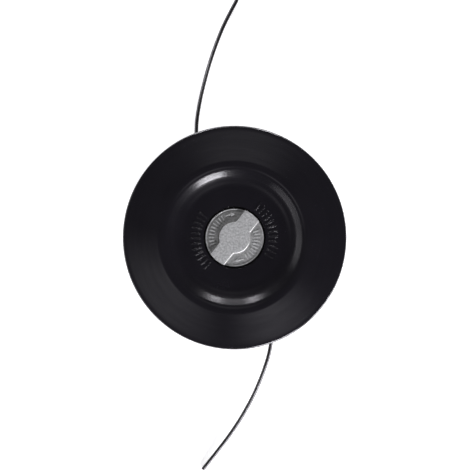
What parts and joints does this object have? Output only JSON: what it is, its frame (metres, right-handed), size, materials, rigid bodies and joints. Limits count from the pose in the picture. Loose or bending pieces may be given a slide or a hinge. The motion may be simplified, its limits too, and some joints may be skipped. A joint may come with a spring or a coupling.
{
  "type": "trimmer head",
  "caption": "Grass trimmer head: saucer shaped cover with a recessed die-cast knob, cup housing with line spool and feed slide, and free nylon line ends.",
  "frame": {"origin": "on the spindle's axis, at the end face of the hub, which fastens against the trimmer's gearbox and which the head stands on", "axes": "+Z along the spindle towards the ground side, where the cover and the knob are; +X to the right and +Y up in the picture, which looks along -Z"},
  "size_m": [0.134, 0.2988, 0.0486],
  "materials": {
    "cover_nylon": "glossy moulded nylon, black",
    "housing_nylon": "satin moulded nylon, black",
    "spool_nylon": "satin moulded nylon, dark grey",
    "slide_acetal": "natural acetal",
    "line_nylon": "drawn nylon line, black",
    "cast_aluminium": "tumbled die casting",
    "eyelet_aluminium": "turned",
    "insert_brass": "turned",
    "spindle_steel": "zinc plated",
    "washer_steel": "zinc plated",
    "weight_steel": "plain",
    "spring_steel": "drawn wire",
    "bush_acetal": "natural acetal"
  },
  "bodies": {
    "head": {"housing": "housing_nylon", "spindle": "spindle_steel", "cover_disc": "cover_nylon", "line_eyelet_a": "eyelet_aluminium", "line_eyelet_b": "eyelet_aluminium", "slide_spring": "spring_steel", "spring_pin": "spring_steel", "lower_thrust_washer": "bush_acetal", "upper_thrust_washer": "bush_acetal", "free_line_a": "line_nylon", "free_line_b": "line_nylon"},
    "line_spool": {"spool": "spool_nylon", "spool_bush": "bush_acetal", "line_winding_lower": "line_nylon", "line_winding_upper": "line_nylon"},
    "slide_with_weight": {"feed_slide": "slide_acetal", "slide_weight": "weight_steel"},
    "washer_body": {"knob_washer": "washer_steel"},
    "knob_body": {"knob": "cast_aluminium", "knob_insert": "insert_brass"}
  },
  "joints": [
    {"name": "spool_turn", "type": "hinge", "parent": "head", "child": "line_spool", "pos_m": [0, 0, 0.0279], "axis": [0, 0, 1], "range_deg": [0, 32]},
    {"name": "slide_out", "type": "slide", "parent": "head", "child": "slide_with_weight", "axis": [1, 0, 0], "range_m": [0, 0.004], "stiffness_N_per_m": 500, "springref_m": -0.004, "deforming": ["slide_spring"]},
    {"name": "knob_lift", "type": "slide", "parent": "head", "child": "washer_body", "axis": [0, 0, 1], "range_m": [0, 0.0045]},
    {"name": "knob_turn", "type": "hinge", "parent": "washer_body", "child": "knob_body", "pos_m": [0, 0, 0.041], "axis": [0, 0, 1], "range_deg": [-1080, 0]}
  ],
  "couplings": [
    {"joint": "knob_lift", "follows": "knob_turn", "m_per_rad": -0.00023873}
  ]
}
